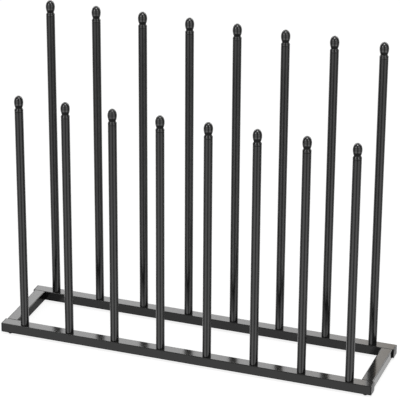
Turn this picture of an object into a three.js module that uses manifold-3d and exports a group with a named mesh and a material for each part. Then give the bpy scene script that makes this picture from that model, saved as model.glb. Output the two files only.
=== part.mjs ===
import * as THREE from 'three';
import { mergeVertices } from 'three/addons/utils/BufferGeometryUtils.js';
import Module from 'manifold-3d';

// Boot rack: a low welded frame of rectangular tube that carries two rows of upright posts.
// A boot hangs upside down on each post. The back row is taller, so both rows can be reached.
// Millimetres. X runs along the rack, Y from the front row to the back row, Z up.
// The origin is on the floor, under the middle of the rack.

// Posts
const POSTS_PER_ROW = 8;
const POST_PITCH = 117;
const ROW_SPACING = 196;
const POST_DIAMETER = 20;
const POST_WALL = 1.2;
const FRONT_POST_LENGTH = 556;
const BACK_POST_LENGTH = 726.5;
const INSERT_LENGTH = 18;

// Base frame
const RAIL_WIDTH = 28;
const RAIL_HEIGHT = 23.5;
const RAIL_WALL = 1.5;
const RAIL_INNER_CORNER = 0.7;
const END_MARGIN = 54.5;
const SIDE_RAIL_WIDTH = 27.5;
const SIDE_RAIL_SETBACK = 1.5;

// End caps
const CAP_THICKNESS = 2.5;
const CAP_EDGE_BEVEL = 0.7;
const CAP_PLUG_LENGTH = 8.5;
const CAP_PLUG_WALL = 1.5;
const CAP_FIN_HEIGHT = 0.6;
const CAP_FIN_THICKNESS = 1.2;
const CAP_FIN_PITCH = 3.4;
const CAP_FIN_COUNT = 2;

// Finials
const COLLAR_OVERHANG = 0.25;
const COLLAR_HEIGHT = 4;
const FLARE_HEIGHT = 5.7;
const NECK_DIAMETER = 16;
const BULB_DIAMETER = 21.7;
const BULB_LOWER_HEIGHT = 12.9;
const BULB_UPPER_HEIGHT = 15.8;
const FINIAL_STEM_LENGTH = 14;

// Post bolts
const BOLT_DIAMETER = 6;
const BOLT_ENGAGEMENT = 12;
const BOLT_HEAD_DIAMETER = 11;
const BOLT_HEAD_HEIGHT = 3.3;
const BOLT_HEAD_RIM = 1.3;
const BOLT_HEAD_BEVEL = 2;
const HEX_KEY_SIZE = 4;
const HEX_SOCKET_DEPTH = 2.1;

// Feet
const HEAD_FLOOR_CLEARANCE = 3.7;
const FOOT_DIAMETER = 12;
const FOOT_TAPER = 1.2;
const FOOT_STEM_DIAMETER = 5.4;
const FOOT_BARB_OVERHANG = 0.8;
const FOOT_BARB_HEIGHT = 3;

// Gaps between pieces
const PUSH_FIT_CLEARANCE = 0.3;
const BOLT_CLEARANCE = 0.35;
const CUT_OVERRUN = 1;

// Smoothness of the round forms
const ROUND_SIDES = 16;
const BOLT_SIDES = 8;
const CORNER_STEPS = 2;
const PLUG_CORNER_STEPS = 1;
const FLARE_STEPS = 2;
const BULB_STEPS = 3;

// Worked out from the sizes above
const ROW_LENGTH = (POSTS_PER_ROW - 1) * POST_PITCH;
const RAIL_LENGTH = ROW_LENGTH + 2 * END_MARGIN;
const RAIL_CORNER = RAIL_INNER_CORNER + RAIL_WALL;
const SIDE_RAIL_LENGTH = ROW_SPACING - RAIL_WIDTH;
const SIDE_RAIL_X = RAIL_LENGTH / 2 - SIDE_RAIL_SETBACK - SIDE_RAIL_WIDTH / 2;
const FOOT_HEIGHT = BOLT_HEAD_HEIGHT + HEAD_FLOOR_CLEARANCE;
const RAIL_TOP = FOOT_HEIGHT + RAIL_HEIGHT;
const RAIL_MIDDLE = FOOT_HEIGHT + RAIL_HEIGHT / 2;
const POST_RADIUS = POST_DIAMETER / 2;
const BOLT_HOLE_DIAMETER = BOLT_DIAMETER + 2 * BOLT_CLEARANCE;
const FOOT_HOLE_DIAMETER = FOOT_STEM_DIAMETER + 2 * PUSH_FIT_CLEARANCE;

const wasm = await Module();
wasm.setup();

// Materials

const powderCoat = { color: 0x232323, roughness: 0.34, metalness: 0.1 };
const capPlastic = { color: 0x1b1b1b, roughness: 0.28, metalness: 0 };
const footRubber = { color: 0x3a3a3a, roughness: 0.7, metalness: 0 };
const zincSteel = { color: 0x9a9a96, roughness: 0.4, metalness: 0.9 };

// Solids

function toSolid(geometry) {
  geometry.deleteAttribute('normal');
  geometry.deleteAttribute('uv');
  const merged = mergeVertices(geometry);
  return new wasm.Manifold(new wasm.Mesh({
    numProp: 3,
    vertProperties: new Float32Array(merged.attributes.position.array),
    triVerts: new Uint32Array(merged.index.array),
  }));
}

function toGeometry(solid) {
  const mesh = solid.getMesh();
  const geometry = new THREE.BufferGeometry();
  geometry.setAttribute('position', new THREE.BufferAttribute(mesh.vertProperties, 3));
  geometry.setIndex(new THREE.BufferAttribute(mesh.triVerts, 1));
  geometry.computeVertexNormals();
  return geometry;
}

// A turned form: the outline runs up its outside, with radius as x and height as y.
function turned(outline, sides) {
  return new THREE.LatheGeometry(outline, sides).rotateX(Math.PI / 2);
}

// An upright round cutter that reaches past both faces of a wall centred on the given height.
function holeCutter(diameter, depth, x, height) {
  const length = depth + 2 * CUT_OVERRUN;
  const cutter = new THREE.CylinderGeometry(diameter / 2, diameter / 2, length, BOLT_SIDES);
  return toSolid(cutter.rotateX(Math.PI / 2).translate(x, 0, height));
}

// A rectangle with round corners, traced on a Shape or a Path.
function traceSection(path, width, height, radius) {
  const x = width / 2 - radius;
  const y = height / 2 - radius;
  path.absarc(x, y, radius, 0, Math.PI / 2);
  path.absarc(-x, y, radius, Math.PI / 2, Math.PI);
  path.absarc(-x, -y, radius, Math.PI, 1.5 * Math.PI);
  path.absarc(x, -y, radius, 1.5 * Math.PI, 2 * Math.PI);
  path.closePath();
  return path;
}

// A straight run of rectangular tube, extruded along Z and centred on the origin.
function rectangularTube(width, height, wall, corner, length, cornerSteps) {
  const section = traceSection(new THREE.Shape(), width, height, corner);
  const bore = traceSection(new THREE.Path(), width - 2 * wall, height - 2 * wall, corner - wall);
  section.holes.push(bore);
  const tube = new THREE.ExtrudeGeometry(section, {
    depth: length, bevelEnabled: false, curveSegments: cornerSteps, steps: 1,
  });
  return tube.translate(0, 0, -length / 2);
}

function postX(index) {
  return (index - (POSTS_PER_ROW - 1) / 2) * POST_PITCH;
}

// Long rail: bolt holes through both walls under every post, a foot hole near each end.
function longRailGeometry() {
  const tube = rectangularTube(
    RAIL_HEIGHT, RAIL_WIDTH, RAIL_WALL, RAIL_CORNER, RAIL_LENGTH, CORNER_STEPS,
  );
  let rail = toSolid(tube.rotateY(Math.PI / 2));
  for (let index = 0; index < POSTS_PER_ROW; index += 1) {
    rail = rail.subtract(holeCutter(BOLT_HOLE_DIAMETER, RAIL_HEIGHT, postX(index), 0));
  }
  const floorOfTube = (RAIL_WALL - RAIL_HEIGHT) / 2;
  for (const x of [-SIDE_RAIL_X, SIDE_RAIL_X]) {
    rail = rail.subtract(holeCutter(FOOT_HOLE_DIAMETER, RAIL_WALL, x, floorOfTube));
  }
  return toGeometry(rail);
}

function sideRailGeometry() {
  const tube = rectangularTube(
    SIDE_RAIL_WIDTH, RAIL_HEIGHT, RAIL_WALL, RAIL_CORNER, SIDE_RAIL_LENGTH, CORNER_STEPS,
  );
  return tube.rotateX(Math.PI / 2);
}

// End cap: a bevelled plate that covers the tube's end, and a hollow plug with grip fins behind it.
// It is built along Z, with the plate's back face on the origin and the plug below.
function endCapGeometry() {
  const plate = new THREE.ExtrudeGeometry(
    traceSection(new THREE.Shape(), RAIL_HEIGHT, RAIL_WIDTH, RAIL_CORNER),
    {
      depth: CAP_THICKNESS - 2 * CAP_EDGE_BEVEL,
      bevelEnabled: true,
      bevelThickness: CAP_EDGE_BEVEL,
      bevelSize: CAP_EDGE_BEVEL,
      bevelOffset: -CAP_EDGE_BEVEL,
      bevelSegments: 1,
      curveSegments: CORNER_STEPS,
    },
  ).translate(0, 0, CAP_EDGE_BEVEL);

  const finWidth = RAIL_WIDTH - 2 * (RAIL_WALL + PUSH_FIT_CLEARANCE);
  const finHeight = RAIL_HEIGHT - 2 * (RAIL_WALL + PUSH_FIT_CLEARANCE);
  const plugWidth = finWidth - 2 * CAP_FIN_HEIGHT;
  const plugHeight = finHeight - 2 * CAP_FIN_HEIGHT;
  const plugRun = CAP_PLUG_LENGTH + CAP_THICKNESS / 2;
  const plug = rectangularTube(
    plugHeight, plugWidth, CAP_PLUG_WALL, CAP_PLUG_WALL + RAIL_INNER_CORNER, plugRun,
    PLUG_CORNER_STEPS,
  ).translate(0, 0, plugRun / 2 - CAP_PLUG_LENGTH);

  let cap = toSolid(plate).add(toSolid(plug));
  for (let index = 1; index <= CAP_FIN_COUNT; index += 1) {
    const finWall = CAP_FIN_HEIGHT + CAP_PLUG_WALL / 2;
    const fin = rectangularTube(
      finHeight, finWidth, finWall, finWall + RAIL_INNER_CORNER, CAP_FIN_THICKNESS,
      PLUG_CORNER_STEPS,
    ).translate(0, 0, -index * CAP_FIN_PITCH);
    cap = cap.add(toSolid(fin));
  }
  return toGeometry(cap);
}

// Post: a round tube with a threaded insert closing its foot. It is open at the top.
function postGeometry(length) {
  const bore = POST_RADIUS - POST_WALL;
  const thread = BOLT_HOLE_DIAMETER / 2;
  return turned([
    new THREE.Vector2(thread, 0),
    new THREE.Vector2(POST_RADIUS, 0),
    new THREE.Vector2(POST_RADIUS, length),
    new THREE.Vector2(bore, length),
    new THREE.Vector2(bore, INSERT_LENGTH),
    new THREE.Vector2(thread, INSERT_LENGTH),
    new THREE.Vector2(thread, 0),
  ], ROUND_SIDES);
}

// Finial: a push-in stem, a collar as wide as the tube, a flared neck and an acorn bulb.
// The origin is where the collar sits on the tube's end.
function finialGeometry() {
  const stem = POST_RADIUS - POST_WALL - PUSH_FIT_CLEARANCE;
  const collar = POST_RADIUS + COLLAR_OVERHANG;
  const neck = NECK_DIAMETER / 2;
  const bulb = BULB_DIAMETER / 2;
  const flareTop = COLLAR_HEIGHT + FLARE_HEIGHT;
  const bulbMiddle = flareTop + BULB_LOWER_HEIGHT;
  const tip = bulbMiddle + BULB_UPPER_HEIGHT;
  // Curve handles, as shares of the height or radius of the stretch that they shape
  const shoulderShare = 0.27;
  const neckShare = 0.48;
  const cheekShare = 0.24;
  const waistShare = 0.53;
  const sideShare = 0.38;
  const crownShare = 0.71;

  const flare = new THREE.CubicBezierCurve(
    new THREE.Vector2(collar, COLLAR_HEIGHT),
    new THREE.Vector2(collar, COLLAR_HEIGHT + shoulderShare * FLARE_HEIGHT),
    new THREE.Vector2(neck, flareTop - neckShare * FLARE_HEIGHT),
    new THREE.Vector2(neck, flareTop),
  );
  const cheek = new THREE.CubicBezierCurve(
    new THREE.Vector2(neck, flareTop),
    new THREE.Vector2(neck + cheekShare * (bulb - neck), flareTop + cheekShare * BULB_LOWER_HEIGHT),
    new THREE.Vector2(bulb, bulbMiddle - waistShare * BULB_LOWER_HEIGHT),
    new THREE.Vector2(bulb, bulbMiddle),
  );
  const crown = new THREE.CubicBezierCurve(
    new THREE.Vector2(bulb, bulbMiddle),
    new THREE.Vector2(bulb, bulbMiddle + sideShare * BULB_UPPER_HEIGHT),
    new THREE.Vector2(crownShare * bulb, tip),
    new THREE.Vector2(0, tip),
  );
  return turned([
    new THREE.Vector2(0, -FINIAL_STEM_LENGTH),
    new THREE.Vector2(stem, -FINIAL_STEM_LENGTH),
    new THREE.Vector2(stem, 0),
    new THREE.Vector2(collar, 0),
    ...flare.getPoints(FLARE_STEPS),
    ...cheek.getPoints(BULB_STEPS).slice(1),
    ...crown.getPoints(BULB_STEPS).slice(1),
  ], ROUND_SIDES);
}

// Post bolt: a button head with a hexagon socket, and a shank that points up.
// The origin is the seat under the rail, where the head meets the shank.
function boltGeometry() {
  const head = BOLT_HEAD_DIAMETER / 2;
  const shank = BOLT_DIAMETER / 2;
  const length = RAIL_HEIGHT + BOLT_ENGAGEMENT;
  const body = turned([
    new THREE.Vector2(0, -BOLT_HEAD_HEIGHT),
    new THREE.Vector2(head - BOLT_HEAD_BEVEL, -BOLT_HEAD_HEIGHT),
    new THREE.Vector2(head, -BOLT_HEAD_RIM),
    new THREE.Vector2(head, 0),
    new THREE.Vector2(shank, 0),
    new THREE.Vector2(shank, length),
    new THREE.Vector2(0, length),
  ], BOLT_SIDES);

  const socketRadius = HEX_KEY_SIZE / Math.sqrt(3);
  const socketRun = HEX_SOCKET_DEPTH + CUT_OVERRUN;
  const socket = new THREE.CylinderGeometry(socketRadius, socketRadius, socketRun, 6);
  const socketMiddle = HEX_SOCKET_DEPTH - socketRun / 2 - BOLT_HEAD_HEIGHT;
  const cutter = socket.rotateX(Math.PI / 2).translate(0, 0, socketMiddle);
  return toGeometry(toSolid(body).subtract(toSolid(cutter)));
}

// Foot: a tapered pad with a barbed stem that snaps into the rail's floor.
function footGeometry() {
  const pad = FOOT_DIAMETER / 2;
  const stem = FOOT_STEM_DIAMETER / 2;
  const barb = stem + FOOT_BARB_OVERHANG;
  const barbSeat = FOOT_HEIGHT + RAIL_WALL + PUSH_FIT_CLEARANCE;
  const barbTop = barbSeat + FOOT_BARB_HEIGHT;
  return turned([
    new THREE.Vector2(0, 0),
    new THREE.Vector2(pad - FOOT_TAPER, 0),
    new THREE.Vector2(pad, FOOT_HEIGHT),
    new THREE.Vector2(stem, FOOT_HEIGHT),
    new THREE.Vector2(stem, barbSeat),
    new THREE.Vector2(barb, barbSeat),
    new THREE.Vector2(stem - FOOT_BARB_OVERHANG, barbTop),
    new THREE.Vector2(0, barbTop),
  ], ROUND_SIDES);
}

// Assembly

const rack = new THREE.Group();

function place(name, geometry, finish, x, y, z) {
  const mesh = new THREE.Mesh(geometry, new THREE.MeshStandardMaterial(finish));
  mesh.name = name;
  mesh.position.set(x, y, z);
  rack.add(mesh);
  return mesh;
}

const longRail = longRailGeometry();
const sideRail = sideRailGeometry();
const endCap = endCapGeometry();
const finial = finialGeometry();
const bolt = boltGeometry();
const foot = footGeometry();

const rows = [
  { name: 'front', y: -ROW_SPACING / 2, postLength: FRONT_POST_LENGTH },
  { name: 'back', y: ROW_SPACING / 2, postLength: BACK_POST_LENGTH },
];
const ends = [
  { name: 'left', side: -1 },
  { name: 'right', side: 1 },
];

for (const row of rows) {
  place(`rail_${row.name}`, longRail, powderCoat, 0, row.y, RAIL_MIDDLE);
  for (const end of ends) {
    const tubeEnd = end.side * RAIL_LENGTH / 2;
    const cap = place(
      `rail_cap_${row.name}_${end.name}`, endCap, capPlastic, tubeEnd, row.y, RAIL_MIDDLE,
    );
    cap.rotation.y = end.side * Math.PI / 2;
    place(`foot_${row.name}_${end.name}`, foot, footRubber, end.side * SIDE_RAIL_X, row.y, 0);
  }
  const post = postGeometry(row.postLength);
  for (let index = 0; index < POSTS_PER_ROW; index += 1) {
    const label = `${row.name}_${index + 1}`;
    const x = postX(index);
    place(`post_${label}`, post, powderCoat, x, row.y, RAIL_TOP);
    place(`finial_${label}`, finial, capPlastic, x, row.y, RAIL_TOP + row.postLength);
    place(`post_bolt_${label}`, bolt, zincSteel, x, row.y, FOOT_HEIGHT);
  }
}
for (const end of ends) {
  place(`side_rail_${end.name}`, sideRail, powderCoat, end.side * SIDE_RAIL_X, 0, RAIL_MIDDLE);
}

export default rack;
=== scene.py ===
import math
from functools import partial
import bmesh
import bpy
from mathutils import Matrix, Vector


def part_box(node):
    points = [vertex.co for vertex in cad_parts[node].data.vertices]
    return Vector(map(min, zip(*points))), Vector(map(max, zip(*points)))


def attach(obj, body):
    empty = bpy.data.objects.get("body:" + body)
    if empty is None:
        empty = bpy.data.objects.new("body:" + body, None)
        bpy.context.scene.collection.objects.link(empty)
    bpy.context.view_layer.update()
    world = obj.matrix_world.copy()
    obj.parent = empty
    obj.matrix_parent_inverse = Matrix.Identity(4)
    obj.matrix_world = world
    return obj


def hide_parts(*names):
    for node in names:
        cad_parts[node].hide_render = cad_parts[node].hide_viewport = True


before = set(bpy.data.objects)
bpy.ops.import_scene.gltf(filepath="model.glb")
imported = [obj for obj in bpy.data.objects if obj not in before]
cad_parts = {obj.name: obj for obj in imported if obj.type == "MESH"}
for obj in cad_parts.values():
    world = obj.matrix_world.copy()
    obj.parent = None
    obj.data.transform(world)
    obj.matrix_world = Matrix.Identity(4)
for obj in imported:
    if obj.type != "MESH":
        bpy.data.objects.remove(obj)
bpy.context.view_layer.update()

# Small sizes of the pieces, in metres
MM = 0.001

POST_WALL = 1.2 * MM
POST_RIM_BEVEL = 0.35 * MM
INSERT_LENGTH = 18 * MM
# The renderer thins dark tubes on a white ground, so tubes and collars are this much fuller in radius
POST_FULLNESS = 0.3 * MM
# A short band at each end of a post keeps the smooth shading of its long side level
POST_END_BAND = 1.5 * MM

RAIL_CORNER = 1.6 * MM
RAIL_WALL = 1.5 * MM
# A narrow border on each flat face keeps the shading of the rolled edges off the rest of it
RAIL_FACE_BORDER = 0.4 * MM
# How far in from its ends a rail is hollow
RAIL_HOLLOW = 30 * MM
CROSS_TUBE_CHAMFER = 0.7 * MM

CAP_RIM_BEVEL = 0.8 * MM
# The plate is thinner than in the solids, which leaves a fine seam between it and its tube
CAP_THICKNESS = 1.8 * MM
PLUG_CLEARANCE = 0.4 * MM
PLUG_WALL = 1.5 * MM

COLLAR_OVERHANG = 0.1 * MM
COLLAR_HEIGHT = 3.4 * MM
COLLAR_SEAT_INSET = 0.5 * MM
COLLAR_SEAT_HEIGHT = 0.9 * MM
COLLAR_SWELL = 0.1 * MM
FLARE_HEIGHT = 5.5 * MM
NECK_RADIUS = 8.2 * MM
BULB_LOWER_HEIGHT = 13.7 * MM
FINIAL_STEM_LENGTH = 14 * MM
FINIAL_STEM_BEVEL = 1 * MM
# Handles of the finial's three curves, as shares of the width or height that the curve covers
FLARE_LOWER_HANDLE = 0.27
FLARE_UPPER_HANDLE = 0.48
BULB_NECK_HANDLE = (0.38, 0.2)
BULB_WAIST_HANDLE = 0.62
CROWN_WAIST_HANDLE = 0.38
CROWN_TIP_HANDLE = 0.74

BOLT_RADIUS = 3 * MM
BOLT_HEAD_HEIGHT = 3.3 * MM
BOLT_HEAD_BEVEL = 2 * MM
SOCKET_RIM = 0.7 * MM
SOCKET_APOTHEM = 2 * MM
SOCKET_DEPTH = 2.1 * MM
SOCKET_SIDE_TURN = math.pi / 3

FOOT_TAPER = 1.2 * MM
FOOT_RIM_BEVEL = 0.9 * MM
FOOT_STEM_RADIUS = 2.7 * MM

# How finely the round forms are divided
POST_SIDES = 48
SMALL_SIDES = 36
FLARE_RINGS = 6
BULB_LOWER_RINGS = 8
CROWN_RINGS = 11
SMOOTH_ANGLE = math.radians(32)

# How closely a face's normal has to follow an axis to count as facing along it, and as flat
FACING = 0.99
FLAT = 0.999
# Slack in the tests of heights
SLACK = 0.1 * MM

ROWS = ("front", "back")
SIDES = ("left", "right")
POSTS_PER_ROW = 8
ALONG_X = 0
ALONG_Y = 1
UP = (0, 0, 1)


# Hand tools

def deselect_all():
    bpy.ops.object.select_all(action="DESELECT")


def named(name):
    piece = bpy.context.object
    piece.name = name
    piece.data.name = name
    return piece


def open_up():
    """Puts the active piece's place and scale into its mesh and opens it for editing."""
    bpy.ops.object.transform_apply(location=True, rotation=True, scale=True)
    bpy.ops.object.mode_set(mode="EDIT")


def close_up(piece):
    """Ends the modelling of a piece, smooth where it is round."""
    bpy.ops.object.mode_set(mode="OBJECT")
    bpy.ops.object.transform_apply(location=True, rotation=True, scale=True)
    bpy.ops.object.shade_smooth_by_angle(angle=SMOOTH_ANGLE)
    deselect_all()
    return piece


def start_cylinder(name, sides, radius, depth, location):
    """Starts a piece as an upright cylinder, open for editing."""
    deselect_all()
    bpy.ops.mesh.primitive_cylinder_add(vertices=sides, radius=radius, depth=depth, location=location)
    piece = named(name)
    open_up()
    return piece


def start_block(name, low, high):
    """Starts a piece as a block between two corners, open for editing."""
    deselect_all()
    bpy.ops.mesh.primitive_cube_add(size=1, location=(low + high) / 2, scale=high - low)
    piece = named(name)
    open_up()
    return piece


def pick_faces(test):
    """In edit mode, leaves only the faces selected whose middle and normal pass the test."""
    bpy.ops.mesh.select_all(action="DESELECT")
    bpy.ops.mesh.select_mode(type="FACE")
    mesh = bmesh.from_edit_mesh(bpy.context.object.data)
    for face in mesh.faces:
        face.select_set(test(face.calc_center_median(), face.normal))
    bmesh.update_edit_mesh(bpy.context.object.data)


def pick_edges(test):
    """In edit mode, leaves only the edges selected whose two ends pass the test."""
    bpy.ops.mesh.select_all(action="DESELECT")
    bpy.ops.mesh.select_mode(type="EDGE")
    mesh = bmesh.from_edit_mesh(bpy.context.object.data)
    for edge in mesh.edges:
        edge.select_set(test(edge.verts[0].co, edge.verts[1].co))
    bmesh.update_edit_mesh(bpy.context.object.data)


def bevel(offset, segments):
    bpy.ops.mesh.bevel(offset=offset, offset_type="OFFSET", segments=segments, affect="EDGES")


def inset(thickness, each_face=False):
    bpy.ops.mesh.inset(thickness=thickness, depth=0, use_individual=each_face)


def push(distance, axis):
    """Extrudes the selected face along an axis."""
    bpy.ops.mesh.extrude_region_move(
        TRANSFORM_OT_translate={"value": tuple(distance * part for part in axis)}
    )


def copy_to(piece, name, offset):
    """A copy with its own mesh, moved by an offset that goes into the mesh."""
    twin = piece.copy()
    twin.data = piece.data.copy()
    twin.name = name
    twin.data.name = name
    twin.data.transform(Matrix.Translation(offset))
    bpy.context.scene.collection.objects.link(twin)
    return twin


def middle_of(node):
    low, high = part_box(node)
    return (low + high) / 2


def repeat(piece, own_node, node, name):
    """The piece itself at its own node, and a copy that is moved there for any other."""
    if node == own_node:
        return piece
    return copy_to(piece, name, middle_of(node) - middle_of(own_node))


def mount(piece, node, material):
    """Gives a finished piece its finish and its body, and hides the node that it stands for."""
    piece.data.materials.clear()
    piece.data.materials.append(material)
    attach(piece, "root")
    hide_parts(node)


# Shader tools

def new_group(name, inputs, outputs):
    group = bpy.data.node_groups.new(name, "ShaderNodeTree")
    for label, kind, value in inputs:
        socket = group.interface.new_socket(name=label, in_out="INPUT", socket_type=kind)
        socket.default_value = value
    for label, kind in outputs:
        group.interface.new_socket(name=label, in_out="OUTPUT", socket_type=kind)
    return group


def grey(level):
    return (level, level, level, 1)


def add(nodes, kind, **settings):
    node = nodes.new(kind)
    for key, value in settings.items():
        setattr(node, key, value)
    return node


def feed(links, socket, source):
    """Sets a socket to a plain number, or links another socket to it."""
    if isinstance(source, (int, float)):
        socket.default_value = source
    else:
        links.new(source, socket)


def combine(nodes, links, operation, *sources):
    """A maths node that takes sockets or plain numbers."""
    node = add(nodes, "ShaderNodeMath", operation=operation)
    for socket, source in zip(node.inputs, sources):
        feed(links, socket, source)
    return node.outputs["Value"]


def remap(nodes, links, source, low, high, to_low=0.0, to_high=1.0, interpolation="LINEAR"):
    """Goes from one value to another while the source goes from low to high, and stays there."""
    node = add(nodes, "ShaderNodeMapRange", interpolation_type=interpolation)
    links.new(source, node.inputs["Value"])
    node.inputs["From Min"].default_value = low
    node.inputs["From Max"].default_value = high
    node.inputs["To Min"].default_value = to_low
    node.inputs["To Max"].default_value = to_high
    return node.outputs["Result"]


def step_up(nodes, links, source, low, high):
    """A smooth rise from 0 to 1 while the source goes from low to high."""
    return remap(nodes, links, source, low, high, interpolation="SMOOTHSTEP")


def split(nodes, links, vector):
    """The X, Y and Z of a vector."""
    node = add(nodes, "ShaderNodeSeparateXYZ")
    links.new(vector, node.inputs["Vector"])
    return node.outputs["X"], node.outputs["Y"], node.outputs["Z"]


def noise(nodes, links, place, scale, detail):
    """Noise in object coordinates, from 0 to 1."""
    node = add(nodes, "ShaderNodeTexNoise")
    links.new(place.outputs["Object"], node.inputs["Vector"])
    feed(links, node.inputs["Scale"], scale)
    feed(links, node.inputs["Detail"], detail)
    return node.outputs["Fac"]


# Materials

# Orange peel of the coat: bump height in metres and noise detail
PEEL_HEIGHT = 0.2 * MM
PEEL_DETAIL = 2.0
# Slow mottling of the roughness, and the middle value that it swings about
MOTTLE_SCALE = 34.0
MOTTLE_DETAIL = 4.0
NOISE_MIDDLE = 0.5
# Specks of dust: noise, the range of noise that shows, and how upright a normal has to be
SPECK_SCALE = 420.0
SPECK_DETAIL = 5.0
SPECK_RANGE = (0.42, 0.75)
SETTLE_RANGE = (0.6, 1.0)
# Painted shade: the share of their gloss that the frame's and the caps' front and back faces keep, so
# that they look darker, and how far a normal has to turn to the front or back for a face to count as
# one
FRONT_PAINTED_SHADE_GLOSS = 0.68
FRONT_PAINTED_SHADE_RANGE = (0.6, 0.95)


def coat_grain_group():
    """Orange peel, slow mottling and settled dust, read in object coordinates."""
    group = new_group(
        "coat grain",
        [
            ("Coat Color", "NodeSocketColor", (0.01, 0.01, 0.01, 1)),
            ("Dust Color", "NodeSocketColor", (0.2, 0.2, 0.2, 1)),
            ("Dust", "NodeSocketFloat", 0.1),
            ("Gloss Roughness", "NodeSocketFloat", 0.3),
            ("Roughness Spread", "NodeSocketFloat", 0.05),
            ("Peel Scale", "NodeSocketFloat", 700.0),
            ("Peel Strength", "NodeSocketFloat", 0.05),
        ],
        [
            ("Color", "NodeSocketColor"),
            ("Roughness", "NodeSocketFloat"),
            ("Normal", "NodeSocketVector"),
        ],
    )
    nodes, links = group.nodes, group.links
    inner = add(nodes, "NodeGroupInput")
    outer = add(nodes, "NodeGroupOutput")
    place = add(nodes, "ShaderNodeTexCoord")
    maths = partial(combine, nodes, links)

    bump = add(nodes, "ShaderNodeBump")
    bump.inputs["Distance"].default_value = PEEL_HEIGHT
    links.new(inner.outputs["Peel Strength"], bump.inputs["Strength"])
    peel = noise(nodes, links, place, inner.outputs["Peel Scale"], PEEL_DETAIL)
    links.new(peel, bump.inputs["Height"])
    links.new(bump.outputs["Normal"], outer.inputs["Normal"])

    mottle = noise(nodes, links, place, MOTTLE_SCALE, MOTTLE_DETAIL)
    swing = maths("SUBTRACT", mottle, NOISE_MIDDLE)
    spread = maths("MULTIPLY", swing, inner.outputs["Roughness Spread"])
    rough = add(nodes, "ShaderNodeMath", operation="ADD", use_clamp=True)
    links.new(inner.outputs["Gloss Roughness"], rough.inputs[0])
    links.new(spread, rough.inputs[1])
    links.new(rough.outputs["Value"], outer.inputs["Roughness"])

    facing = add(nodes, "ShaderNodeNewGeometry")
    _, _, upright = split(nodes, links, facing.outputs["Normal"])
    settled = remap(nodes, links, upright, *SETTLE_RANGE)
    specks = noise(nodes, links, place, SPECK_SCALE, SPECK_DETAIL)
    shown = remap(nodes, links, specks, *SPECK_RANGE)
    amount = maths("MULTIPLY", maths("MULTIPLY", settled, shown), inner.outputs["Dust"])
    tint = add(nodes, "ShaderNodeMix", data_type="RGBA")
    links.new(amount, tint.inputs["Factor"])
    links.new(inner.outputs["Coat Color"], tint.inputs["A"])
    links.new(inner.outputs["Dust Color"], tint.inputs["B"])
    links.new(tint.outputs["Result"], outer.inputs["Color"])
    return group


def coated(name, grain, values, shader_values, front_painted_shade_gloss=1.0):
    """A material with the grain group's outputs wired into its own shader."""
    material = bpy.data.materials.new(name)
    material.use_nodes = True
    nodes, links = material.node_tree.nodes, material.node_tree.links
    shader = nodes["Principled BSDF"]
    surface = add(nodes, "ShaderNodeGroup", node_tree=grain)
    for label, value in values.items():
        surface.inputs[label].default_value = value
    for label, value in shader_values.items():
        shader.inputs[label].default_value = value
    links.new(surface.outputs["Color"], shader.inputs["Base Color"])
    links.new(surface.outputs["Roughness"], shader.inputs["Roughness"])
    links.new(surface.outputs["Normal"], shader.inputs["Normal"])
    # Painted shade: faces that look along Y keep only part of their gloss, so that they render darker
    if front_painted_shade_gloss < 1:
        maths = partial(combine, nodes, links)
        facing = add(nodes, "ShaderNodeNewGeometry")
        _, forward, _ = split(nodes, links, facing.outputs["Normal"])
        front = step_up(nodes, links, maths("ABSOLUTE", forward), *FRONT_PAINTED_SHADE_RANGE)
        plain = shader.inputs["Specular IOR Level"].default_value
        level = maths("MULTIPLY_ADD", front, (front_painted_shade_gloss - 1) * plain, plain)
        links.new(level, shader.inputs["Specular IOR Level"])
    return material


grain = coat_grain_group()
frame_coat = coated(
    "black powder coat on the base frame", grain,
    {
        "Coat Color": (0.009, 0.009, 0.0091, 1), "Dust Color": (0.2, 0.185, 0.17, 1),
        "Dust": 0.08, "Gloss Roughness": 0.14, "Roughness Spread": 0.05,
        "Peel Scale": 900.0, "Peel Strength": 0.02,
    },
    {"IOR": 1.45}, FRONT_PAINTED_SHADE_GLOSS,
)
post_coat = coated(
    "black powder coat on the posts", grain,
    {
        "Coat Color": (0.008, 0.008, 0.0081, 1), "Dust Color": grey(0.2),
        "Dust": 0.06, "Gloss Roughness": 0.18, "Roughness Spread": 0.05,
        "Peel Scale": 900.0, "Peel Strength": 0.03,
    },
    {"IOR": 1.55},
)
finial_plastic = coated(
    "glossy black finial plastic", grain,
    {
        "Coat Color": (0.004, 0.004, 0.004, 1), "Dust Color": grey(0.25),
        "Dust": 0.04, "Gloss Roughness": 0.1, "Roughness Spread": 0.05,
        "Peel Scale": 500.0, "Peel Strength": 0.03,
    },
    {"IOR": 1.64},
)
cap_plastic = coated(
    "black end cap plastic", grain,
    {
        "Coat Color": (0.014, 0.014, 0.014, 1), "Dust Color": grey(0.2),
        "Dust": 0.1, "Gloss Roughness": 0.37, "Roughness Spread": 0.06,
        "Peel Scale": 1400.0, "Peel Strength": 0.08,
    },
    {"IOR": 1.5}, FRONT_PAINTED_SHADE_GLOSS,
)
foot_rubber = coated(
    "dark grey foot rubber", grain,
    {
        "Coat Color": (0.06, 0.06, 0.06, 1), "Dust Color": grey(0.3),
        "Dust": 0.1, "Gloss Roughness": 0.62, "Roughness Spread": 0.1,
        "Peel Scale": 1800.0, "Peel Strength": 0.15,
    },
    {"IOR": 1.45},
)
bolt_zinc = coated(
    "zinc plated bolt steel", grain,
    {
        "Coat Color": (0.55, 0.55, 0.53, 1), "Dust Color": grey(0.3),
        "Dust": 0.0, "Gloss Roughness": 0.35, "Roughness Spread": 0.15,
        "Peel Scale": 2200.0, "Peel Strength": 0.1,
    },
    {"IOR": 1.5, "Metallic": 1.0},
)


# Pieces

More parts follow.
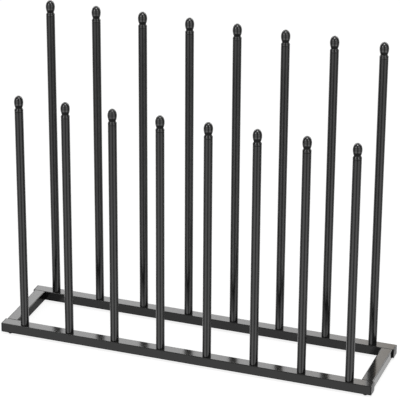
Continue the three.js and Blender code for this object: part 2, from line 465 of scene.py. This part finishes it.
def model_post(node, name):
    """A round tube: hollow down to its insert, with both rims broken."""
    low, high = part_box(node)
    middle = (low + high) / 2
    length = high.z - low.z
    radius = (high.x - low.x) / 2 + POST_FULLNESS
    post = start_cylinder(name, POST_SIDES, radius, length - 2 * POST_END_BAND, middle)
    for way in (-1, 1):
        pick_faces(lambda centre, normal: normal.z * way > FACING)
        push(way * POST_END_BAND, UP)

    def on_rim(a, b):
        level = abs(a.z - b.z) < POST_RIM_BEVEL
        return level and abs(a.z - middle.z) > length / 2 - POST_RIM_BEVEL

    pick_edges(on_rim)
    bevel(POST_RIM_BEVEL, segments=2)
    pick_faces(lambda centre, normal: normal.z > FACING and centre.z > high.z - POST_RIM_BEVEL)
    inset(POST_WALL + POST_FULLNESS - POST_RIM_BEVEL)
    push(INSERT_LENGTH - length, UP)
    return close_up(post)


def bezier(start, handle_a, handle_b, end, steps):
    """Points after the start of a curve in radius and height."""
    points = []
    for step in range(1, steps + 1):
        t = step / steps
        u = 1 - t
        weights = (u ** 3, 3 * u * u * t, 3 * u * t * t, t ** 3)
        corners = (start, handle_a, handle_b, end)
        points.append(tuple(
            sum(weight * corner[axis] for weight, corner in zip(weights, corners))
            for axis in (0, 1)
        ))
    return points


def finial_outline(radius, bulb, height):
    """Radius and height of each ring from the collar's seat to the tip."""
    collar = radius + COLLAR_OVERHANG
    neck = COLLAR_HEIGHT + FLARE_HEIGHT
    waist = neck + BULB_LOWER_HEIGHT
    crown = height - waist
    across, up = BULB_NECK_HANDLE
    rings = [
        (collar - COLLAR_SEAT_INSET, 0.0),
        (collar, COLLAR_SEAT_HEIGHT),
        (collar + COLLAR_SWELL, COLLAR_HEIGHT / 2),
        (collar, COLLAR_HEIGHT),
    ]
    rings += bezier(
        (collar, COLLAR_HEIGHT),
        (collar, COLLAR_HEIGHT + FLARE_LOWER_HANDLE * FLARE_HEIGHT),
        (NECK_RADIUS, neck - FLARE_UPPER_HANDLE * FLARE_HEIGHT),
        (NECK_RADIUS, neck),
        FLARE_RINGS,
    )
    rings += bezier(
        (NECK_RADIUS, neck),
        (NECK_RADIUS + across * (bulb - NECK_RADIUS), neck + up * BULB_LOWER_HEIGHT),
        (bulb, waist - BULB_WAIST_HANDLE * BULB_LOWER_HEIGHT),
        (bulb, waist),
        BULB_LOWER_RINGS,
    )
    rings += bezier(
        (bulb, waist),
        (bulb, waist + CROWN_WAIST_HANDLE * crown),
        (CROWN_TIP_HANDLE * bulb, height),
        (0, height),
        CROWN_RINGS,
    )
    return rings


def model_finial(node, post_node, name):
    """An acorn finial, drawn up ring by ring from its collar, with a push-in stem below."""
    low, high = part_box(node)
    post_low, post_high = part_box(post_node)
    radius = (post_high.x - post_low.x) / 2
    centre = (low + high) / 2
    seat = post_high.z
    rings = finial_outline(radius + POST_FULLNESS, (high.x - low.x) / 2, high.z - seat)
    stem = radius - POST_WALL - PLUG_CLEARANCE
    location = (centre.x, centre.y, seat - FINIAL_STEM_LENGTH / 2)
    finial = start_cylinder(name, POST_SIDES, stem, FINIAL_STEM_LENGTH, location)
    pick_faces(lambda middle, normal: normal.z > FACING)
    last_radius, last_height = stem, 0.0
    for ring_radius, ring_height in rings:
        push(ring_height - last_height, UP)
        if ring_radius > 0:
            scale = ring_radius / last_radius
            pivot = (centre.x, centre.y, seat + ring_height)
            bpy.ops.transform.resize(value=(scale, scale, 1), center_override=pivot)
        last_radius, last_height = ring_radius, ring_height
    bpy.ops.mesh.merge(type="CENTER")
    pick_edges(lambda a, b: max(a.z, b.z) < seat - FINIAL_STEM_LENGTH + SLACK)
    bevel(FINIAL_STEM_BEVEL, segments=1)
    return close_up(finial)


def model_rail(node, name, axis, end_chamfer=0):
    """A rectangular tube along X or Y: its long edges are rolled and its ends stand open."""
    low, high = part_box(node)
    size = high - low
    middle = (low + high) / 2
    rail = start_block(name, low, high)
    pick_edges(lambda a, b: abs((a - b)[axis]) > size[axis] / 2)
    bevel(RAIL_CORNER, segments=5)

    def on_flat_side(centre, normal):
        return abs(normal[axis]) < 1 - FACING and max(map(abs, normal)) > FLAT

    pick_faces(on_flat_side)
    inset(RAIL_FACE_BORDER, each_face=True)
    if end_chamfer:
        inner = size[axis] / 2 - end_chamfer / 2

        def at_end(a, b):
            return min(abs(a[axis] - middle[axis]), abs(b[axis] - middle[axis])) > inner

        pick_edges(at_end)
        bevel(end_chamfer, segments=1)
    along = Vector((0, 0, 0))
    along[axis] = 1
    for way in (-1, 1):
        pick_faces(lambda centre, normal: normal.dot(along) * way > FACING)
        inset(RAIL_WALL)
        push(-way * RAIL_HOLLOW, along)
    return close_up(rail)


def model_cap(node, name, way):
    """An end cap: a plate with a rolled rim, and a hollow plug that goes into the tube."""
    low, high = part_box(node)
    outer = high.x if way > 0 else low.x
    inner = outer - way * CAP_THICKNESS
    plate_low = Vector((min(inner, outer), low.y, low.z))
    plate_high = Vector((max(inner, outer), high.y, high.z))
    cap = start_block(name, plate_low, plate_high)
    pick_edges(lambda a, b: abs(a.x - b.x) > CAP_THICKNESS / 2)
    bevel(RAIL_CORNER, segments=5)

    def on_outer_rim(a, b):
        return abs(a.x - b.x) < CAP_RIM_BEVEL / 2 and (a.x - inner) * way > CAP_THICKNESS / 2

    pick_edges(on_outer_rim)
    bevel(CAP_RIM_BEVEL, segments=3)
    pick_faces(lambda centre, normal: normal.x * way < -FACING)
    plug = (high.x - low.x) - CAP_THICKNESS
    steps = (
        (RAIL_WALL + PLUG_CLEARANCE, -way * plug),
        (PLUG_WALL, way * (plug - PLUG_WALL)),
    )
    taken = 0.0
    for step_in, run in steps:
        size = [part - 2 * taken for part in high - low]
        taken += step_in
        push(0, (1, 0, 0))
        bpy.ops.transform.resize(
            value=(1, 1 - 2 * step_in / size[1], 1 - 2 * step_in / size[2]),
            center_override=(low + high) / 2,
        )
        push(run, (1, 0, 0))
    return close_up(cap)


def model_foot(node, rail_node, name):
    """A tapered rubber foot with a soft lower rim and a stem up into the rail."""
    low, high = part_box(node)
    rail_low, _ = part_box(rail_node)
    centre = (low + high) / 2
    height = rail_low.z - low.z
    radius = (high.x - low.x) / 2
    foot = start_cylinder(
        name, SMALL_SIDES, radius, height, (centre.x, centre.y, low.z + height / 2),
    )
    pick_faces(lambda middle, normal: normal.z < -FACING)
    narrow = 1 - FOOT_TAPER / radius
    sole = (centre.x, centre.y, low.z)
    bpy.ops.transform.resize(value=(narrow, narrow, 1), center_override=sole)
    pick_edges(lambda a, b: max(a.z, b.z) < low.z + SLACK)
    bevel(FOOT_RIM_BEVEL, segments=3)
    pick_faces(lambda middle, normal: normal.z > FACING)
    inset(radius - FOOT_STEM_RADIUS)
    push(high.z - rail_low.z, UP)
    return close_up(foot)


def model_bolt(node, rail_node, name):
    """A button head screw with a hexagon socket, seen under the rail."""
    low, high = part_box(node)
    rail_low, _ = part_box(rail_node)
    centre = (low + high) / 2
    seat = rail_low.z
    head = (high.x - low.x) / 2
    location = (centre.x, centre.y, seat - BOLT_HEAD_HEIGHT / 2)
    bolt = start_cylinder(name, SMALL_SIDES, head, BOLT_HEAD_HEIGHT, location)
    pick_edges(lambda a, b: max(a.z, b.z) < low.z + SLACK)
    bevel(BOLT_HEAD_BEVEL, segments=5)
    pick_faces(lambda middle, normal: normal.z < -FACING)
    inset(SOCKET_RIM)
    mesh = bmesh.from_edit_mesh(bolt.data)
    for corner in {corner for face in mesh.faces if face.select for corner in face.verts}:
        turn = math.atan2(corner.co.y - centre.y, corner.co.x - centre.x)
        off = (turn + SOCKET_SIDE_TURN / 2) % SOCKET_SIDE_TURN - SOCKET_SIDE_TURN / 2
        reach = SOCKET_APOTHEM / math.cos(off)
        corner.co.x = centre.x + reach * math.cos(turn)
        corner.co.y = centre.y + reach * math.sin(turn)
    bmesh.update_edit_mesh(bolt.data)
    push(SOCKET_DEPTH, UP)
    pick_faces(lambda middle, normal: normal.z > FACING and middle.z > seat - SLACK)
    inset(head - BOLT_RADIUS)
    push(high.z - seat, UP)
    return close_up(bolt)


def build_rows():
    """Models each repeated piece once. All copies are made before any piece is mounted and its node
    hidden.
    """
    finished = []
    finial = model_finial("finial_front_1", "post_front_1", "front_acorn_finial_1")
    bolt = model_bolt("post_bolt_front_1", "rail_front", "front_post_screw_1")
    for row in ROWS:
        post = model_post(f"post_{row}_1", f"{row}_post_tube_1")
        for index in range(1, POSTS_PER_ROW + 1):
            at = f"{row}_{index}"
            tube = repeat(post, f"post_{row}_1", f"post_{at}", f"{row}_post_tube_{index}")
            acorn = repeat(
                finial, "finial_front_1", f"finial_{at}", f"{row}_acorn_finial_{index}",
            )
            screw = repeat(
                bolt, "post_bolt_front_1", f"post_bolt_{at}", f"{row}_post_screw_{index}",
            )
            finished.append((tube, f"post_{at}", "post_coat", post_coat))
            finished.append((acorn, f"finial_{at}", "finial_plastic", finial_plastic))
            finished.append((screw, f"post_bolt_{at}", "bolt_zinc", bolt_zinc))
    for piece, node, slot, material in finished:
        mount(piece, node, material)


def build_base():
    for row in ROWS:
        rail = model_rail(f"rail_{row}", f"{row}_base_tube", ALONG_X)
        mount(rail, f"rail_{row}", frame_coat)
        for side, way in zip(SIDES, (-1, 1)):
            cap = model_cap(f"rail_cap_{row}_{side}", f"{row}_{side}_tube_cap", way)
            mount(cap, f"rail_cap_{row}_{side}", cap_plastic)
            foot = model_foot(f"foot_{row}_{side}", f"rail_{row}", f"{row}_{side}_rubber_foot")
            mount(foot, f"foot_{row}_{side}", foot_rubber)
    for side in SIDES:
        rail = model_rail(f"side_rail_{side}", f"{side}_cross_tube", ALONG_Y, CROSS_TUBE_CHAMFER)
        mount(rail, f"side_rail_{side}", frame_coat)


build_rows()
build_base()


# Stage: a pale floor, a white studio, soft lamps and the photograph's camera

FLOOR_SIZE = 30.0
FLOOR_LEVEL = 0.3
# How bright the floor glows to the camera alone, so that it turns white round the rack
FLOOR_GLOW = 0.85
# Patches of floor that look darker to the gloss: how far they reach, and how deep they are beside
# the side tubes, before the back rail and behind the front rail
SHADE_REACH = 0.045
SHADE_DEPTH = 0.85
BACK_SHADE_DEPTH = 0.3
FRONT_SHADE_DEPTH = 0.6

# The light that matt surfaces take from the studio
FILL_LEVEL = 0.5
# The studio that the gloss sees is given by compass turn in degrees and by rise, which is -1
# straight down, 0 level and 1 straight up. A fade goes from nothing at its first rise to full at its
# second.
STUDIO_LEVEL = 0.3
UPPER_LEVEL = 0.1
UPPER_START = (0.0, 0.3)
UPPER_END = (0.95, 0.75)
# Upright strips: turn, half width, brightness below and above the horizon
STRIPS = (
    (-111, 24, 1.3, 1.1),
    (-29, 24, 1.3, 1.1),
    (68, 21, 0.87, 1.2),
    (152, 20, 1.1, 1.1),
)
# The panel behind the rack: turn, half width, brightness, and the fades at its foot and head
BACK_PANEL = (105, 55, 3.6)
PANEL_FOOT = (0.12, 0.28)
PANEL_HEAD = (0.8, 0.6)
# A narrow warm gap in that panel: turn, half width, and the share of the panel's light that it takes
PANEL_GAP = (101.8, 2.6, 0.5)
GAP_TINT = (1.0, 0.89, 0.75, 1)
# Strips, panel and gap are full to the first of these shares of their half width and end at the second
EDGE_SHARES = (0.55, 1.45)
# Near straight down the strips are gone and this share of the rest is left
FLOOR_FADE = (-0.62, -0.475)
FLOOR_SHARE = 0.48
# What the studio is multiplied by: from a lower to a higher rise, and the value at each
LOW_GAIN = (-0.5, -0.34, 1.62, 0.8)
# What is added to that from just below the horizon upward
HORIZON_FADE = (-0.25, -0.05)
HORIZON_GAIN = 0.2

# Soft lamps: name, place, the point they face, width and height in metres, power in watts
LAMPS = (
    ("overhead softbox", (0.5, -0.95, 2.9), (0, 0, 0.5), 1.0, 1.0, 27),
    ("left softbox", (-1.8, -2.9, 2.0), (0, 0, 0.6), 0.6, 0.9, 14),
    ("right softbox", (2.6, -2.0, 2.2), (0, 0, 0.6), 1.0, 1.0, 9),
)

# The view from the right of the front and from above, fitted to the posts and rails
CAMERA_PLACE = (1.65966, -4.64400, 2.57327)
CAMERA_TURN = math.radians(-19.616)
CAMERA_TILT = math.radians(23.949)
CAMERA_ROLL = math.radians(0.335)
SENSOR_MILLIMETRES = 36.0
LENS_MILLIMETRES = 207.0


def floor_shade(nodes, links, x, y):
    """How much darker the gloss sees a place on the floor, from 0 to 1."""
    maths = partial(combine, nodes, links)
    across = maths("ABSOLUTE", x)
    along = maths("ABSOLUTE", y)
    side_low, side_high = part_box("side_rail_right")
    back_low, back_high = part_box("rail_back")
    patches = [(SHADE_DEPTH, (
        (across, side_low.x - SHADE_REACH, side_low.x - SHADE_REACH / 2),
        (across, side_high.x, side_low.x),
        (along, back_high.y + SHADE_REACH / 2, back_high.y),
    ))]
    toward_front = maths("MULTIPLY", y, -1.0)
    for depth, toward_rail in ((BACK_SHADE_DEPTH, y), (FRONT_SHADE_DEPTH, toward_front)):
        patches.append((depth, (
            (toward_rail, back_low.y - 2 * SHADE_REACH, back_low.y - SHADE_REACH),
            (toward_rail, back_high.y, back_low.y),
            (across, side_high.x, side_low.x),
        )))
    shade = 0.0
    for depth, edges in patches:
        patch = depth
        for measure, low, high in edges:
            patch = maths("MULTIPLY", step_up(nodes, links, measure, low, high), patch)
        shade = maths("MAXIMUM", patch, shade)
    return shade


def make_floor():
    """A pale floor that keeps the rack's shadow. The gloss sees through it to the studio below,
    except where a patch of shade lies."""
    deselect_all()
    bpy.ops.mesh.primitive_plane_add(size=FLOOR_SIZE, location=(0, 0, 0))
    floor = named("studio_floor")
    material = bpy.data.materials.new("pale studio floor")
    material.use_nodes = True
    nodes, links = material.node_tree.nodes, material.node_tree.links
    maths = partial(combine, nodes, links)
    shader = nodes["Principled BSDF"]
    shader.inputs["Base Color"].default_value = grey(FLOOR_LEVEL)
    shader.inputs["Roughness"].default_value = 1.0
    shader.inputs["Specular IOR Level"].default_value = 0.0
    glow = add(nodes, "ShaderNodeEmission")
    ray = add(nodes, "ShaderNodeLightPath")
    strength = maths("MULTIPLY", ray.outputs["Is Camera Ray"], FLOOR_GLOW)
    links.new(strength, glow.inputs["Strength"])
    both = add(nodes, "ShaderNodeAddShader")
    links.new(shader.outputs["BSDF"], both.inputs[0])
    links.new(glow.outputs["Emission"], both.inputs[1])

    place = add(nodes, "ShaderNodeTexCoord")
    x, y, _ = split(nodes, links, place.outputs["Object"])
    clear = maths("SUBTRACT", 1.0, floor_shade(nodes, links, x, y))
    through = maths("MULTIPLY", ray.outputs["Is Glossy Ray"], clear)
    glass = add(nodes, "ShaderNodeBsdfTransparent")
    mixed = add(nodes, "ShaderNodeMixShader")
    links.new(through, mixed.inputs["Fac"])
    links.new(both.outputs["Shader"], mixed.inputs[1])
    links.new(glass.outputs["BSDF"], mixed.inputs[2])
    links.new(mixed.outputs["Shader"], nodes["Material Output"].inputs["Surface"])
    floor.data.materials.append(material)


def toward(nodes, links, turn, centre, half_width):
    """A soft mask of the directions within a half width of a compass turn, both in degrees."""
    full, end = (math.cos(share * math.radians(half_width)) for share in EDGE_SHARES)
    off = combine(nodes, links, "SUBTRACT", turn, math.radians(centre))
    return step_up(nodes, links, combine(nodes, links, "COSINE", off), end, full)


def studio_light(nodes, links, turn, rise):
    """The studio's brightness by direction, and the mask of the warm gap."""
    maths = partial(combine, nodes, links)
    fade = partial(step_up, nodes, links, rise)
    upper = maths("MULTIPLY", fade(*UPPER_START), fade(*UPPER_END))
    extra = 0.0
    for centre, half_width, low_level, high_level in STRIPS:
        level = maths("MULTIPLY_ADD", upper, high_level - low_level, low_level - STUDIO_LEVEL)
        strip = toward(nodes, links, turn, centre, half_width)
        extra = maths("MULTIPLY_ADD", strip, level, extra)

    centre, half_width, depth = PANEL_GAP
    gap = toward(nodes, links, turn, centre, half_width)
    centre, half_width, panel_level = BACK_PANEL
    band = maths("MULTIPLY", fade(*PANEL_FOOT), fade(*PANEL_HEAD))
    panel = maths("MULTIPLY", toward(nodes, links, turn, centre, half_width), band)
    panel = maths("MULTIPLY", panel, maths("MULTIPLY_ADD", gap, -depth, 1.0))
    extra = maths("MULTIPLY_ADD", panel, panel_level - STUDIO_LEVEL, extra)

    above_floor = fade(*FLOOR_FADE)
    base = maths("MULTIPLY_ADD", upper, UPPER_LEVEL - STUDIO_LEVEL, STUDIO_LEVEL)
    studio = maths("MULTIPLY_ADD", extra, above_floor, base)
    low_gain = remap(nodes, links, rise, *LOW_GAIN)
    gain = maths("MULTIPLY_ADD", fade(*HORIZON_FADE), HORIZON_GAIN, low_gain)
    share = maths("MULTIPLY_ADD", above_floor, 1 - FLOOR_SHARE, FLOOR_SHARE)
    studio = maths("MULTIPLY", maths("MULTIPLY", studio, gain), share)
    return studio, maths("MULTIPLY", gap, band)


def make_world():
    """White to the camera, and a studio of soft upright strips and a back panel to the gloss."""
    world = bpy.data.worlds.new("white studio")
    bpy.context.scene.world = world
    world.use_nodes = True
    nodes, links = world.node_tree.nodes, world.node_tree.links
    maths = partial(combine, nodes, links)
    way = add(nodes, "ShaderNodeTexCoord")
    x, y, rise = split(nodes, links, way.outputs["Generated"])
    studio, warm = studio_light(nodes, links, maths("ARCTAN2", y, x), rise)

    ray = add(nodes, "ShaderNodeLightPath")
    shown = add(nodes, "ShaderNodeMix", data_type="FLOAT")
    links.new(ray.outputs["Is Glossy Ray"], shown.inputs["Factor"])
    shown.inputs["A"].default_value = FILL_LEVEL
    links.new(studio, shown.inputs["B"])
    unseen = maths("SUBTRACT", 1.0, ray.outputs["Is Camera Ray"])
    level = maths("MULTIPLY_ADD", shown.outputs["Result"], unseen, ray.outputs["Is Camera Ray"])
    background = nodes["Background"]
    links.new(level, background.inputs["Strength"])

    tint = add(nodes, "ShaderNodeMix", data_type="RGBA")
    links.new(maths("MULTIPLY", warm, ray.outputs["Is Glossy Ray"]), tint.inputs["Factor"])
    tint.inputs["A"].default_value = grey(1.0)
    tint.inputs["B"].default_value = GAP_TINT
    links.new(tint.outputs["Result"], background.inputs["Color"])


def make_lamp(name, place, target, width, height, power):
    lamp = bpy.data.lights.new(name, "AREA")
    lamp.shape = "RECTANGLE"
    lamp.size = width
    lamp.size_y = height
    lamp.energy = power
    holder = bpy.data.objects.new(name, lamp)
    bpy.context.scene.collection.objects.link(holder)
    holder.location = place
    facing = Vector(target) - Vector(place)
    holder.rotation_euler = facing.to_track_quat("-Z", "Y").to_euler()
    holder.visible_camera = False


def make_camera():
    level = math.cos(CAMERA_TILT)
    ahead = Vector((
        math.sin(CAMERA_TURN) * level, math.cos(CAMERA_TURN) * level, -math.sin(CAMERA_TILT),
    ))
    right = Vector((math.cos(CAMERA_TURN), -math.sin(CAMERA_TURN), 0))
    up = right.cross(ahead)
    rolled_right = right * math.cos(CAMERA_ROLL) + up * math.sin(CAMERA_ROLL)
    rolled_up = up * math.cos(CAMERA_ROLL) - right * math.sin(CAMERA_ROLL)
    lens = bpy.data.cameras.new("photo camera")
    lens.sensor_width = SENSOR_MILLIMETRES
    lens.lens = LENS_MILLIMETRES
    camera = bpy.data.objects.new("photo camera", lens)
    bpy.context.scene.collection.objects.link(camera)
    turned = Matrix((rolled_right, rolled_up, -ahead)).transposed()
    camera.matrix_world = Matrix.Translation(CAMERA_PLACE) @ turned.to_4x4()
    bpy.context.scene.camera = camera


make_floor()
make_world()
for lamp in LAMPS:
    make_lamp(*lamp)
make_camera()
bpy.context.scene.view_settings.view_transform = "Standard"
